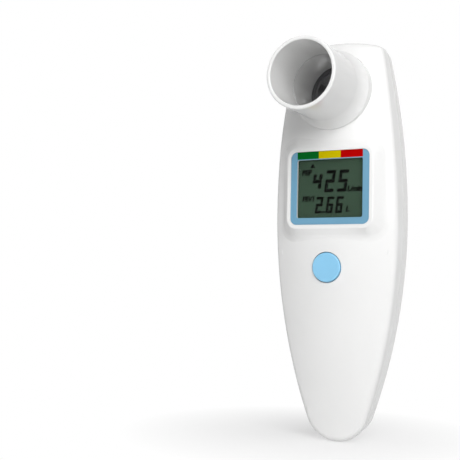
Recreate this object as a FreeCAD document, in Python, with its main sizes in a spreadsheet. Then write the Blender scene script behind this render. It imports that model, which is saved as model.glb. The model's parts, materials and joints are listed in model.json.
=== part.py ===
import FreeCAD, Part
import math
import os

from FreeCAD import Placement, Rotation, Vector

# Electronic peak flow meter, in millimetres.
# +X is the holder's left as they read the display, +Z is up, and the mouthpiece points along -Y.
# The origin is the middle of the hand's grip, on the plane where the two shells meet.

document = FreeCAD.newDocument("peak_flow_meter")

# Every driving dimension: alias, value, what it is. Heights count up from the rounded tip,
# and a depth counts from the joint plane, forwards for the front cover and backwards for the rear.
DIMENSIONS = [
    ("body_height", 162.7, "body, tip to top"),
    ("grip_height", 41.7, "height of the origin above the tip"),
    ("half_width", 26.6, "body, half of its greatest width"),
    ("widest_drop", 72.4, "greatest width below the top"),
    ("upper_side_radius", 325.0, "side outline above the greatest width"),
    ("tip_radius", 13.4853, "tip of the outline"),
    ("top_arch_radius", 65.0, "top edge of the outline"),
    ("top_corner_radius", 5.0, "corners of the outline's top edge"),
    ("front_draft", 6.0, "front cover's side walls, degrees"),
    ("rear_draft", 6.5, "rear cover's side walls, degrees"),
    ("front_depth", 12.6, "front cover at its crest"),
    ("crest_drop", 47.0, "front cover's crest below the top"),
    ("upper_crown_radius", 200.0, "front face above the crest, seen from the side"),
    ("tip_depth", 2.97, "front cover at the tip, where the same arc ends"),
    ("across_crown_radius", 60.0, "front face across its width"),
    ("front_edge_round", 2.4, "edge between the front face and the side walls"),
    ("wall", 1.8, "wall of both shells"),
    ("rear_depth", 14.0, "rear cover along the grip"),
    ("back_straight_drop", 91.0, "end of the back's straight part below the top"),
    ("back_arc_radius", 920.0, "back above the grip, seen from the side"),
    ("back_edge_round", 4.0, "edge between the back and the side walls"),
    ("display_drop", 39.5, "middle of the display frame below the mouthpiece's axis"),
    ("frame_width", 33.3, "display frame, across"),
    ("frame_height", 29.6, "display frame, up"),
    ("frame_corner", 2.6, "display frame, outer corner radius"),
    ("frame_thickness", 0.6, "display frame"),
    ("frame_sink", 0.25, "frame below the platform's face"),
    ("platform_front", 13.0, "depth of the platform's face"),
    ("platform_lip", 1.6, "face left round the frame"),
    ("platform_run", 4.2, "sloping walls above and below the display, seen from the front"),
    ("platform_land", 4.15, "cover left beside the platform"),
    ("platform_round", 0.7, "edge of the platform's face"),
    ("platform_foot_corner", 6.0, "corners of the platform where it runs out"),
    ("platform_blend", 5.0, "hollow blend from the platform into the cover"),
    ("window_width", 27.9, "opening in the frame, across"),
    ("window_height", 23.6, "opening in the frame, up"),
    ("window_drop", 0.3, "opening below the frame's middle"),
    ("zone_depth", 0.3, "colour inlays in the frame"),
    ("zone_gap", 0.3, "frame left between the inlays and the window"),
    ("lens_thickness", 0.5, "clear window"),
    ("lens_margin", 1.2, "window glued under the frame, each side"),
    ("ledge_thickness", 0.5, "cover's ledge behind the window"),
    ("glass_thickness", 1.6, "display glass"),
    ("glass_margin", 1.8, "display glass hidden by the ledge, each side"),
    ("holder_wall", 1.3, "display holder"),
    ("strip_width", 1.8, "rubber contact strips"),
    ("seat_gap", 0.1, "gap round pieces that are set in place"),
    ("board_front", 4.6, "depth of the circuit board's front face"),
    ("board_thickness", 1.2, "circuit board"),
    ("board_inset", 3.6, "circuit board inside the outline"),
    ("board_gap", 1.3, "circuit board inside the front cover's crowned wall"),
    ("board_air_gap", 0.4, "circuit board round the flow tube's socket"),
    ("board_bottom_drop", 24.4, "lower edge of the circuit board below the button"),
    ("board_top_drop", 12.0, "upper edge of the circuit board below the top"),
    ("button_drop", 31.9, "middle of the button below the display's"),
    ("button_side", -1.4, "middle of the button, off the middle plane"),
    ("button_radius", 5.95, "button"),
    ("button_gap", 0.3, "button in its hole"),
    ("button_proud", 0.6, "button ahead of the cover"),
    ("button_flange", 1.2, "button's flange, outwards"),
    ("button_flange_gap", 0.8, "button's flange behind the cover's wall"),
    ("button_flange_thickness", 0.9, "button's flange"),
    ("button_travel", 0.4, "button's stroke"),
    ("button_wall", 1.0, "button's moulded wall"),
    ("switch_width", 6.0, "key switch, square"),
    ("switch_thickness", 2.0, "key switch body"),
    ("plunger_radius", 1.7, "key switch plunger"),
    ("plunger_length", 1.5, "key switch plunger"),
    ("plunger_proud", 0.5, "key switch plunger ahead of its body"),
    ("mouth_drop", 21.2, "axis of the mouthpiece below the top"),
    ("mouth_radius", 13.9, "mouthpiece tube, outside"),
    ("mouth_bore_radius", 12.4, "mouthpiece tube, inside at the lips"),
    ("mouth_inner_radius", 12.2, "mouthpiece tube, inside beyond the step"),
    ("mouth_step", 22.0, "step in the bore, behind the lip end"),
    ("mouth_reach", 43.9, "lip end ahead of the joint plane"),
    ("mouth_tail", 3.2, "inner end ahead of the joint plane"),
    ("lip_round", 0.6, "edges of the lip end"),
    ("skirt_radius", 16.1, "flared skirt"),
    ("skirt_start", 20.5, "depth where the tube starts to flare"),
    ("skirt_full", 13.2, "depth where the flare is at full size"),
    ("skirt_gap", 0.12, "skirt above the cover"),
    ("hole_gap", 0.3, "mouthpiece in the cover's hole"),
    ("socket_gap", 0.4, "mouthpiece in the flow tube's socket"),
    ("socket_wall", 1.0, "flow tube's socket"),
    ("seal_radius", 0.5, "ring seal, its section"),
    ("seal_depth", 4.8, "ring seal ahead of the joint plane"),
    ("tube_bore_radius", 11.2, "flow tube, inside"),
    ("tube_wall", 1.2, "flow tube"),
    ("tube_sink", 0.6, "flow tube's end below the back"),
    ("ring_wall", 1.0, "rims of the swirl vanes and of the grille"),
    ("hub_radius", 2.4, "hubs in the air way"),
    ("stator_front", 2.2, "swirl vanes' front edge ahead of the joint plane"),
    ("stator_length", 3.4, "swirl vanes along the air way"),
    ("stator_pitch", 35.0, "swirl vanes, degrees off the axis"),
    ("stator_vanes", 6.0, "how many swirl vanes"),
    ("vane_thickness", 0.8, "swirl vanes"),
    ("bearing_radius", 1.2, "axle bearings, outside"),
    ("bearing_length", 1.2, "axle bearings"),
    ("axle_radius", 0.5, "rotor axle"),
    ("axle_gap", 0.05, "axle in its bearings"),
    ("rotor_length", 4.4, "rotor blade along the air way"),
    ("rotor_gap", 0.8, "blade tip to the flow tube, and blade to the vanes"),
    ("rotor_thickness", 0.5, "rotor blade"),
    ("grille_length", 1.8, "outlet grille along the air way"),
    ("grille_spoke", 0.9, "outlet grille's spokes"),
    ("sensor_radius", 1.5, "infrared emitter and detector"),
    ("sensor_length", 3.0, "infrared emitter and detector"),
    ("sensor_hole", 1.0, "light holes in the flow tube, radius"),
    ("cell_radius", 5.25, "AAA cell"),
    ("cell_length", 43.3, "AAA cell without its button"),
    ("cell_nub", 1.2, "AAA cell's button"),
    ("cell_nub_radius", 1.9, "AAA cell's button"),
    ("cell_gap", 0.25, "cells beside each other and in the bay"),
    ("bay_bottom_height", 15.9, "lower end of the battery bay"),
    ("bay_wall", 1.2, "battery bay"),
    ("contact_thickness", 0.4, "battery contacts"),
    ("contact_width", 8.0, "battery contacts, square"),
    ("contact_leg", 2.0, "battery contacts' legs"),
    ("link_depth", 7.5, "battery link, front to back"),
    ("spring_length", 3.2, "battery springs as fitted"),
    ("spring_wire", 0.5, "battery springs' wire"),
    ("spring_radius", 2.6, "battery springs, to the middle of the wire"),
    ("door_reach", 5.3, "battery cover beyond the bay's upper end"),
    ("door_depth", 9.0, "depth where the battery cover starts"),
    ("door_gap", 0.15, "gap round the battery cover"),
    ("door_lug_length", 6.0, "battery cover's hooks"),
    ("door_lug_width", 1.4, "battery cover's hooks"),
    ("door_lug_stem", 2.2, "battery cover's hooks, where they stand on it"),
    ("door_lug_side", 14.2, "the same hooks, off the middle"),
    ("door_lug_drop", 10.2, "upper hooks below the battery cover's edge"),
    ("door_lug_pitch", 19.5, "upper hooks to lower hooks"),
    ("groove_radius", 0.7, "thumb grooves in the battery cover"),
    ("groove_length", 18.0, "thumb grooves"),
    ("groove_pitch", 2.6, "thumb grooves, one to the next"),
    ("groove_drop", 9.3, "uppermost thumb groove below the battery cover's edge"),
    ("screw_radius", 1.0, "housing screws"),
    ("screw_length", 8.0, "housing screws below the head"),
    ("screw_seat", 4.8, "depth of the housing screws' heads"),
    ("screw_head_radius", 1.9, "housing screws' heads"),
    ("screw_head_height", 1.4, "housing screws' heads"),
    ("boss_radius", 2.7, "screw bosses"),
    ("tip_screw_height", 10.0, "screw under the battery cover"),
    ("low_screw_rise", 7.0, "pair of screws above the battery cover"),
    ("low_screw_gap", 0.25, "the same pair's bosses beside the display bay"),
    ("top_screw_drop", 8.5, "pair of screws below the top"),
    ("top_screw_side", 13.2, "the same pair, off the middle"),
    ("board_screw_radius", 0.9, "circuit board screws"),
    ("board_screw_length", 3.4, "circuit board screws below the head"),
    ("board_screw_head_radius", 1.7, "circuit board screws' heads"),
    ("board_screw_head_height", 1.1, "circuit board screws' heads"),
    ("board_boss_radius", 2.2, "circuit board bosses"),
    ("board_low_screw_drop", 4.1, "lower pair of board screws below the button"),
    ("board_low_screw_side", 14.5, "the same pair, off the middle"),
    ("board_high_screw_drop", 20.0, "upper pair of board screws below the mouthpiece's axis"),
    ("board_high_screw_side", 16.0, "the same pair, off the middle"),
    ("chip_width", 10.0, "processor chip, square"),
    ("chip_thickness", 1.4, "processor chip"),
    ("chip_drop", 11.0, "middle of the processor chip below the display's"),
    ("crystal_width", 4.6, "crystal"),
    ("crystal_thickness", 1.6, "crystal"),
    ("crystal_length", 10.0, "crystal"),
    ("crystal_side", 12.0, "crystal, off the middle"),
    ("capacitor_radius", 2.5, "capacitor"),
    ("capacitor_length", 5.4, "capacitor"),
    ("capacitor_side", 12.0, "capacitor, off the middle"),
    ("capacitor_drop", 10.0, "capacitor below the display's middle"),
    ("buzzer_radius", 6.5, "buzzer"),
    ("buzzer_thickness", 2.2, "buzzer"),
    ("buzzer_side", 2.0, "buzzer, off the middle"),
    ("buzzer_rise", 7.0, "buzzer above the display's middle"),
]

# Sizes that follow from those above: alias, formula, what it is.
DERIVED = [
    ("widest_height", "body_height - widest_drop", "height of the greatest width"),
    ("lower_side_radius",
     "(half_width ^ 2 + widest_height ^ 2 - tip_radius * widest_height * 2)"
     " / ((half_width - tip_radius) * 2)",
     "side outline below the greatest width"),
    ("crest_height", "body_height - crest_drop", "height of the front cover's crest"),
    ("tip_drop", "front_depth - tip_depth", "fall of the front face from the crest to the tip"),
    ("lower_crown_radius", "(crest_height ^ 2 + tip_drop ^ 2) / (tip_drop * 2)",
     "front face below the crest, seen from the side"),
    ("back_straight_height", "body_height - back_straight_drop",
     "height up to which the back is straight"),
    ("mouth_height", "body_height - mouth_drop", "axis of the mouthpiece"),
    ("display_height", "mouth_height - display_drop", "middle of the display frame"),
    ("button_height", "display_height - button_drop", "middle of the button"),
    ("board_bottom_height", "button_height - board_bottom_drop", "lower edge of the circuit board"),
    ("board_top_height", "body_height - board_top_drop", "upper edge of the circuit board"),
    ("board_low_screw_height", "button_height - board_low_screw_drop", "lower pair of board screws"),
    ("board_high_screw_height", "mouth_height - board_high_screw_drop", "upper pair of board screws"),
    ("top_screw_height", "body_height - top_screw_drop", "pair of screws at the top"),
    ("bay_length", "contact_thickness * 2 + spring_length + cell_length + cell_nub", "battery bay"),
    ("door_height", "bay_bottom_height + bay_length + door_reach", "upper edge of the battery cover"),
    ("low_screw_height", "door_height + low_screw_rise", "pair of screws above the battery cover"),
    ("holder_half_width", "window_width / 2 + glass_margin + seat_gap + holder_wall",
     "display holder, off the middle"),
    ("low_screw_side", "holder_half_width + seat_gap + low_screw_gap + boss_radius",
     "pair of screws above the battery cover, off the middle"),
    ("platform_foot_side", "half_width - platform_land", "foot of the platform, off the middle"),
    ("platform_side_run", "platform_foot_side - frame_width / 2 - platform_lip",
     "sloping walls beside the display, seen from the front"),
]


class Size:
    """A length that knows its value and the formula that binds it to the sheet."""

    def __init__(self, value, formula):
        self.value = value
        self.formula = formula

    def __float__(self):
        return float(self.value)

    def combine(self, other, sign, value, swapped=False):
        text = other.formula if isinstance(other, Size) else repr(float(other))
        first, second = (text, self.formula) if swapped else (self.formula, text)
        return Size(value, f"({first} {sign} {second})")

    def __add__(self, other):
        return self.combine(other, "+", float(self) + float(other))

    def __radd__(self, other):
        return self.combine(other, "+", float(other) + float(self), True)

    def __sub__(self, other):
        return self.combine(other, "-", float(self) - float(other))

    def __rsub__(self, other):
        return self.combine(other, "-", float(other) - float(self), True)

    def __mul__(self, other):
        return self.combine(other, "*", float(self) * float(other))

    def __rmul__(self, other):
        return self.combine(other, "*", float(other) * float(self), True)

    def __truediv__(self, other):
        return self.combine(other, "/", float(self) / float(other))

    def __neg__(self):
        return Size(-float(self), f"(0 - {self.formula})")

    def root(self):
        return Size(math.sqrt(float(self)), f"sqrt({self.formula})")


class Dimensions:
    """The sheet's cells by name: d.wall is a Size bound to the cell with that alias."""


def make_sheet():
    sheet = document.addObject("Spreadsheet::Sheet", "Sizes")
    formulas = [(alias, f"={formula}", meaning) for alias, formula, meaning in DERIVED]
    for row, (alias, value, meaning) in enumerate(DIMENSIONS + formulas, start=1):
        sheet.set(f"A{row}", meaning)
        sheet.set(f"B{row}", str(value))
        sheet.setAlias(f"B{row}", alias)
    document.recompute()
    dimensions = Dimensions()
    for alias, _, _ in DIMENSIONS + DERIVED:
        setattr(dimensions, alias, Size(float(sheet.get(alias)), f"Sizes.{alias}"))
    return dimensions


d = make_sheet()
ZERO = Size(0.0, "0")
SIDES = (-1, 1)
SPARE = 5.0


# Binding helpers

def bind(item, **sizes):
    for name, size in sizes.items():
        item.setExpression(name, size.formula)
    return item


def place(item, x=ZERO, y=ZERO, z=ZERO, turn=None):
    if turn is not None:
        item.Placement = Placement(Vector(0, 0, 0), turn)
    for axis, size in (("x", x), ("y", y), ("z", z)):
        item.setExpression(f"Placement.Base.{axis}", (ZERO + size).formula)
    return item


ALONG = {
    "z": None,
    "y": Rotation(Vector(1, 0, 0), -90),
    "x": Rotation(Vector(0, 1, 0), 90),
}


def cylinder(name, radius, length, x=ZERO, y=ZERO, z=ZERO, along="y"):
    item = document.addObject("Part::Cylinder", name)
    bind(item, Radius=ZERO + radius, Height=ZERO + length)
    return place(item, x, y, z, ALONG[along])


def box(name, size_x, size_y, size_z, x, y, z):
    """A box that is centred on x and starts at y and z."""
    item = document.addObject("Part::Box", name)
    bind(item, Length=ZERO + size_x, Width=ZERO + size_y, Height=ZERO + size_z)
    return place(item, (ZERO + x) - (ZERO + size_x) / 2, y, z)


def fuse(name, pieces):
    item = document.addObject("Part::MultiFuse", name)
    item.Shapes = pieces
    return item


def cut(name, base, tool):
    item = document.addObject("Part::Cut", name)
    item.Base = base
    item.Tool = tool
    return item


def shaped(name, shape):
    item = document.addObject("Part::Feature", name)
    item.Shape = shape
    return item


def ring(name, outer, inner, start, length, z):
    """A round ring about an axis along Y."""
    solid = cylinder(f"{name}_outside", outer, length, y=start, z=z)
    hole = cylinder(f"{name}_inside", inner, length + 2, y=start - 1, z=z)
    return cut(name, solid, hole)


# Heights as places above the origin

def at_height(height):
    return height - d.grip_height


tip_z = at_height(ZERO)
top_z = at_height(d.body_height)
widest_z = at_height(d.widest_height)
crest_z = at_height(d.crest_height)
mouth_z = at_height(d.mouth_height)
display_z = at_height(d.display_height)
window_z = display_z - d.window_drop
button_z = at_height(d.button_height)
board_bottom_z = at_height(d.board_bottom_height)
board_top_z = at_height(d.board_top_height)
bay_bottom_z = at_height(d.bay_bottom_height)
bay_top_z = bay_bottom_z + d.bay_length
door_z = at_height(d.door_height)


# The outline of the body and the two faces that close it

def arc(centre, radius, start, end, y):
    """An arc in a plane of constant y, by angles in the X-Z plane."""
    points = []
    for angle in (start, (start + end) / 2, end):
        x = centre[0] + radius * math.cos(angle)
        z = centre[1] + radius * math.sin(angle)
        points.append(Vector(x, y, z))
    return Part.Arc(*points).toShape()


def circle_crossing(first, first_radius, second, second_radius):
    """The upper one of the two places where two circles cross."""
    dx, dz = second[0] - first[0], second[1] - first[1]
    span = math.hypot(dx, dz)
    along = (first_radius ** 2 - second_radius ** 2 + span ** 2) / (2 * span)
    aside = math.sqrt(first_radius ** 2 - along ** 2)
    middle = (first[0] + along * dx / span, first[1] + along * dz / span)
    options = [
        (middle[0] + sign * aside * dz / span, middle[1] - sign * aside * dx / span)
        for sign in SIDES
    ]
    return max(options, key=lambda place: place[1])


def outline(inset, y):
    """The closed outline, pulled in by inset: tip, two side arcs, corners and top arch."""
    upper, lower = float(d.upper_side_radius), float(d.lower_side_radius)
    half_width, widest = float(d.half_width), float(widest_z)
    arch, corner = float(d.top_arch_radius), float(d.top_corner_radius)
    reach, tip = lower - half_width, float(d.tip_radius)
    upper_centre = (half_width - upper, widest)
    lower_centre = (half_width - lower, widest)
    tip_centre = (0.0, float(tip_z) + tip)
    arch_centre = (0.0, float(top_z) - arch)
    corner_centre = circle_crossing(upper_centre, upper - corner, arch_centre, arch - corner)
    tip_angle = math.atan2(tip_centre[1] - widest, reach)
    side_angle = math.atan2(corner_centre[1] - widest, corner_centre[0] - upper_centre[0])
    top_angle = math.atan2(corner_centre[1] - arch_centre[1], corner_centre[0])
    right = [
        (lower_centre, lower, tip_angle, 0.0),
        (upper_centre, upper, 0.0, side_angle),
        (corner_centre, corner, side_angle, top_angle),
    ]
    edges = [arc(centre, radius - inset, start, end, y) for centre, radius, start, end in right]
    edges.append(arc(arch_centre, arch - inset, top_angle, math.pi - top_angle, y))
    for centre, radius, start, end in reversed(right):
        mirrored = (-centre[0], centre[1])
        edges.append(arc(mirrored, radius - inset, math.pi - end, math.pi - start, y))
    edges.append(arc(tip_centre, tip - inset, math.pi - tip_angle, 2 * math.pi + tip_angle, y))
    return Part.Wire(edges)


def outline_prism(inset, start, end, draft):
    """The outline from y = start to y = end; it narrows by the draft, in degrees."""
    narrower = inset + abs(end - start) * math.tan(math.radians(draft))
    return Part.makeLoft([outline(inset, start), outline(narrower, end)], True, True)


def crown_drop(z, grow=0.0):
    radius = float(d.upper_crown_radius if z > float(crest_z) else d.lower_crown_radius) + grow
    return radius - math.sqrt(radius ** 2 - (z - float(crest_z)) ** 2)


def crown_depth(x, z, grow=0.0):
    """How far the crowned front face lies ahead of the joint plane at x and z."""
    axis = float(d.across_crown_radius - d.front_depth)
    radius = float(d.across_crown_radius) + grow - crown_drop(z, grow)
    return math.sqrt(radius ** 2 - x ** 2) - axis


def crown_solid(grow=0.0):
    """All that lies behind the crowned front face, moved outwards by grow."""
    axis = float(d.across_crown_radius - d.front_depth)
    far = axis + float(d.across_crown_radius) + grow
    low, high, crest = float(tip_z) - SPARE, float(top_z) + SPARE, float(crest_z)

    def face_point(z):
        return Vector(0, far - crown_drop(z, grow), z)

    lower = Part.Arc(face_point(low), face_point((low + crest) / 2), face_point(crest)).toShape()
    upper = Part.Arc(face_point(crest), face_point((crest + high) / 2), face_point(high)).toShape()
    foot, head = Vector(0, axis, low), Vector(0, axis, high)
    straight = [
        Part.LineSegment(face_point(high), head).toShape(),
        Part.LineSegment(head, foot).toShape(),
        Part.LineSegment(foot, face_point(low)).toShape(),
    ]
    profile = Part.Face(Part.Wire([lower, upper] + straight))
    return profile.revolve(foot, Vector(0, 0, 1), 360)


def back_depth(z, sink=0.0):
    rise = max(0.0, z - float(at_height(d.back_straight_height)))
    radius = float(d.back_arc_radius) - sink
    return float(d.rear_depth) - sink - (radius - math.sqrt(radius ** 2 - rise ** 2))


def back_solid(sink=0.0):
    """All that lies ahead of the back, which is straight along the grip and then an arc."""
    low, high = float(tip_z) - SPARE, float(top_z) + SPARE
    bend = float(at_height(d.back_straight_height))
    left, front = -2 * float(d.half_width), -SPARE
    arc_points = [Vector(left, back_depth(z, sink), z) for z in (bend, (bend + high) / 2, high)]
    corners = [
        arc_points[2], Vector(left, front, high), Vector(left, front, low),
        Vector(left, back_depth(low, sink), low), arc_points[0],
    ]
    edges = [Part.Arc(*arc_points).toShape()]
    for start, end in zip(corners, corners[1:]):
        edges.append(Part.LineSegment(start, end).toShape())
    return Part.Face(Part.Wire(edges)).extrude(Vector(-2 * left, 0, 0))


def rim_edges(solid, faces_towards):
    """The edges round the faces that look one way, without the edges between them."""
    seen = {}
    for face in solid.Faces:
        u0, u1, v0, v1 = face.ParameterRange
        normal = face.normalAt((u0 + u1) / 2, (v0 + v1) / 2)
        if normal.dot(faces_towards) > 0.75:
            for edge in face.Edges:
                key = edge.hashCode()
                seen[key] = None if key in seen else edge
    return [edge for edge in seen.values() if edge is not None]


def front_form(inset, edge_round):
    prism = outline_prism(inset, 0.0, -float(d.front_depth) - SPARE, float(d.front_draft))
    solid = prism.common(crown_solid(-inset))
    return solid.makeFillet(edge_round, rim_edges(solid, Vector(0, -1, 0)))


def rear_form(inset, edge_round):
    prism = outline_prism(inset, 0.0, float(d.rear_depth) + SPARE, float(d.rear_draft))
    solid = prism.common(back_solid(inset))
    return solid.makeFillet(edge_round, rim_edges(solid, Vector(0, 1, 0)))


def rounded_rectangle(half_x, half_z, corner, depth_at):
    """Eight edges round the display's middle; depth_at gives y for an x and z."""
    middle = float(display_z)
    edges = []
    quarter = math.pi / 2
    for number, (side_x, side_z) in enumerate(((1, 1), (-1, 1), (-1, -1), (1, -1))):
        centre = (side_x * (half_x - corner), middle + side_z * (half_z - corner))
        angles = [number * quarter + quarter * step / 6 for step in range(7)]
        points = []
        for angle in angles:
            x = centre[0] + corner * math.cos(angle)
            z = centre[1] + corner * math.sin(angle)
            points.append(Vector(x, depth_at(x, z), z))
        edges.append(points)
    curves = []
    for number, points in enumerate(edges):
        spline = Part.BSplineCurve()
        spline.interpolate(points)
        curves.append(spline.toShape())
        start, end = points[-1], edges[(number + 1) % 4][0]
        steps = 8
        straight = []
        for step in range(steps + 1):
            x = start.x + (end.x - start.x) * step / steps
            z = start.z + (end.z - start.z) * step / steps
            straight.append(Vector(x, depth_at(x, z), z))
        line = Part.BSplineCurve()
        line.interpolate(straight)
        curves.append(line.toShape())
    return curves


def platform_form():
    """The display platform: a flat face whose sloping walls run out on the crowned cover."""
    face_y = -float(d.platform_front)
    lip, run = float(d.platform_lip), float(d.platform_run)
    half_x = float(d.frame_width) / 2 + lip
    half_z = float(d.frame_height) / 2 + lip
    foot_x = float(d.platform_foot_side)
    corner = float(d.frame_corner) + lip
    sink = 0.3
    floor_y = -float(d.board_front)
    top = rounded_rectangle(half_x, half_z, corner, lambda x, z: face_y)
    foot_corner = float(d.platform_foot_corner)
    foot = rounded_rectangle(
        foot_x, half_z + run, foot_corner, lambda x, z: sink - crown_depth(x, z))
    floor = rounded_rectangle(foot_x, half_z + run, foot_corner, lambda x, z: floor_y)
    faces = [Part.Face(Part.Wire(top)), Part.Face(Part.Wire(floor))]
    for upper, middle, lower in zip(top, foot, floor):
        faces.append(Part.makeRuledSurface(upper, middle))
        faces.append(Part.makeRuledSurface(middle, lower))
    shell = Part.Shell(faces)
    shell.sewShape()
    solid = Part.Solid(shell)
    if solid.Volume < 0:
        solid.reverse()
    return solid


# Display, from the platform's face inwards

frame_front = d.frame_sink - d.platform_front
frame_back = frame_front + d.frame_thickness
lens_back = frame_back + d.lens_thickness
ledge_back = lens_back + d.ledge_thickness
glass_back = ledge_back + d.glass_thickness
board_back = d.board_thickness - d.board_front
lens_width = d.window_width + d.lens_margin * 2
lens_height = d.window_height + d.lens_margin * 2
glass_width = d.window_width + d.glass_margin * 2
glass_height = d.window_height + d.glass_margin * 2
holder_width = d.holder_half_width * 2
holder_height = glass_height + (d.holder_wall + d.seat_gap) * 2
bay_gap = d.seat_gap * 2


def rounded(name, base, radius, direction, at=None):
    """Rounds the base's straight edges that run one way, or its round edges at one y."""
    document.recompute()
    chosen = []
    for number, edge in enumerate(base.Shape.Edges, start=1):
        if at is None:
            span = edge.Vertexes[-1].Point - edge.Vertexes[0].Point
            if len(edge.Vertexes) == 2 and span.cross(direction).Length < 1e-6:
                chosen.append((number, float(radius), float(radius)))
        elif abs(edge.BoundBox.YMin - float(at)) < 1e-4 and abs(edge.BoundBox.YMax - float(at)) < 1e-4:
            chosen.append((number, float(radius), float(radius)))
    item = document.addObject("Part::Fillet", name)
    item.Base = base
    item.Edges = chosen
    return item


def panel(name, width, height, start, end, middle, corner):
    """A flat panel seen from the front, with rounded corners, from y = start to y = end."""
    base = box(f"{name}_block", width, end - start, height, ZERO, start, middle - (ZERO + height) / 2)
    return rounded(name, base, corner, Vector(0, 1, 0))


def display_frame():
    base = panel("frame_body", d.frame_width, d.frame_height, frame_front, frame_back,
                 display_z, d.frame_corner)
    hole = panel("frame_window", d.window_width, d.window_height, frame_front - 1, frame_back + 1,
                 window_z, ZERO + 0.8)
    pocket_bottom = window_z + d.window_height / 2 + d.zone_gap
    pocket_height = display_z + d.frame_height / 2 - pocket_bottom
    pocket = box("frame_pocket", d.window_width, d.zone_depth + 1, pocket_height,
                 ZERO, frame_front - 1, pocket_bottom)
    finish("display_frame", cut("frame_cut", base, fuse("frame_openings", [hole, pocket])))
    width = d.window_width / 3
    for number, colour in enumerate(("green", "yellow", "red")):
        zone = box(f"{colour}_inlay", width, d.zone_depth, pocket_height,
                   width * (number - 1), frame_front, pocket_bottom)
        finish(f"{colour}_zone", zone)


def display_parts():
    finish("display_window", panel("window_panel", lens_width, lens_height, frame_back, lens_back,
                                   window_z, ZERO + 0.8))
    glass = box("glass_block", glass_width, d.glass_thickness, glass_height,
                ZERO, ledge_back, window_z - glass_height / 2)
    finish("lcd_glass", glass)
    outside = box("holder_outside", holder_width, -d.board_front - ledge_back, holder_height,
                  ZERO, ledge_back, window_z - holder_height / 2)
    inside = box("holder_inside", glass_width + d.seat_gap * 2, -d.board_front - ledge_back + 2,
                 glass_height + d.seat_gap * 2, ZERO, ledge_back - 1,
                 window_z - glass_height / 2 - d.seat_gap)
    finish("lcd_holder", cut("holder_cut", outside, inside))
    for name, side in (("upper", 1), ("lower", -1)):
        middle = window_z + (glass_height / 2 - d.strip_width / 2 - 0.2) * side
        strip = box(f"{name}_strip_block", glass_width - 2, -d.board_front - glass_back, d.strip_width,
                    ZERO, glass_back, middle - d.strip_width / 2)
        finish(f"contact_strip_{name}", strip)


# Screw places, as pairs of x and z

tip_screw_z = at_height(d.tip_screw_height)
low_screw_z = at_height(d.low_screw_height)
top_screw_z = at_height(d.top_screw_height)


def screw_places():
    places = [(ZERO, tip_screw_z)]
    for side in SIDES:
        places.append((d.low_screw_side * side, low_screw_z))
        places.append((d.top_screw_side * side, top_screw_z))
    return places


def board_screw_places():
    places = []
    for side in SIDES:
        places.append((d.board_low_screw_side * side, at_height(d.board_low_screw_height)))
        places.append((d.board_high_screw_side * side, at_height(d.board_high_screw_height)))
    return places


# Button and key switch

switch_front = -d.board_front - d.switch_thickness
plunger_front = switch_front - d.plunger_proud
cover_front = ZERO - crown_depth(float(d.button_side), float(button_z))
button_face = cover_front - d.button_proud
flange_front = cover_front + d.wall + d.button_flange_gap
flange_back = flange_front + d.button_flange_thickness


def button_parts():
    cap = cylinder("button_cap", d.button_radius, flange_back - button_face,
                   x=d.button_side, y=button_face, z=button_z)
    cap = rounded("button_cap_round", cap, 0.5, None, button_face)
    flange = cylinder("button_flange_disc", d.button_radius + d.button_flange,
                      d.button_flange_thickness, x=d.button_side, y=flange_front, z=button_z)
    hollow = cylinder("button_hollow", d.button_radius - d.button_wall,
                      flange_back - button_face - d.button_wall + 1,
                      x=d.button_side, y=button_face + d.button_wall, z=button_z)
    stem = cylinder("button_stem", d.plunger_radius, plunger_front - button_face - d.button_wall / 2,
                    x=d.button_side, y=button_face + d.button_wall / 2, z=button_z)
    shell = cut("button_shell", fuse("button_outside", [cap, flange]), hollow)
    finish("power_button", fuse("button_whole", [shell, stem]))
    block = box("switch_block", d.switch_width, d.switch_thickness, d.switch_width,
                d.button_side, switch_front, button_z - d.switch_width / 2)
    bore = cylinder("switch_bore", d.plunger_radius + 0.3, d.plunger_length + d.button_travel + 0.2,
                    x=d.button_side, y=plunger_front, z=button_z)
    finish("key_switch", cut("switch_cut", block, bore))
    finish("switch_plunger", cylinder("plunger_pin", d.plunger_radius, d.plunger_length,
                                      x=d.button_side, y=plunger_front, z=button_z))


# Air way, from the lips to the back

mouth_front = -d.mouth_reach
mouth_end = -d.mouth_tail
socket_front = ZERO - 6.0
socket_floor = -d.stator_front - 0.2
socket_back = ZERO - 1.0
socket_bore = d.mouth_radius + d.socket_gap
tube_outside = d.tube_bore_radius + d.tube_wall
tube_end = ZERO + (back_depth(float(mouth_z + tube_outside)) - float(d.tube_sink))
stator_end = d.stator_length - d.stator_front
rotor_front = stator_end + d.rotor_gap
rotor_middle = rotor_front + d.rotor_length / 2
grille_front = tube_end - d.grille_length
insert_radius = d.tube_bore_radius - d.seat_gap


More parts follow.
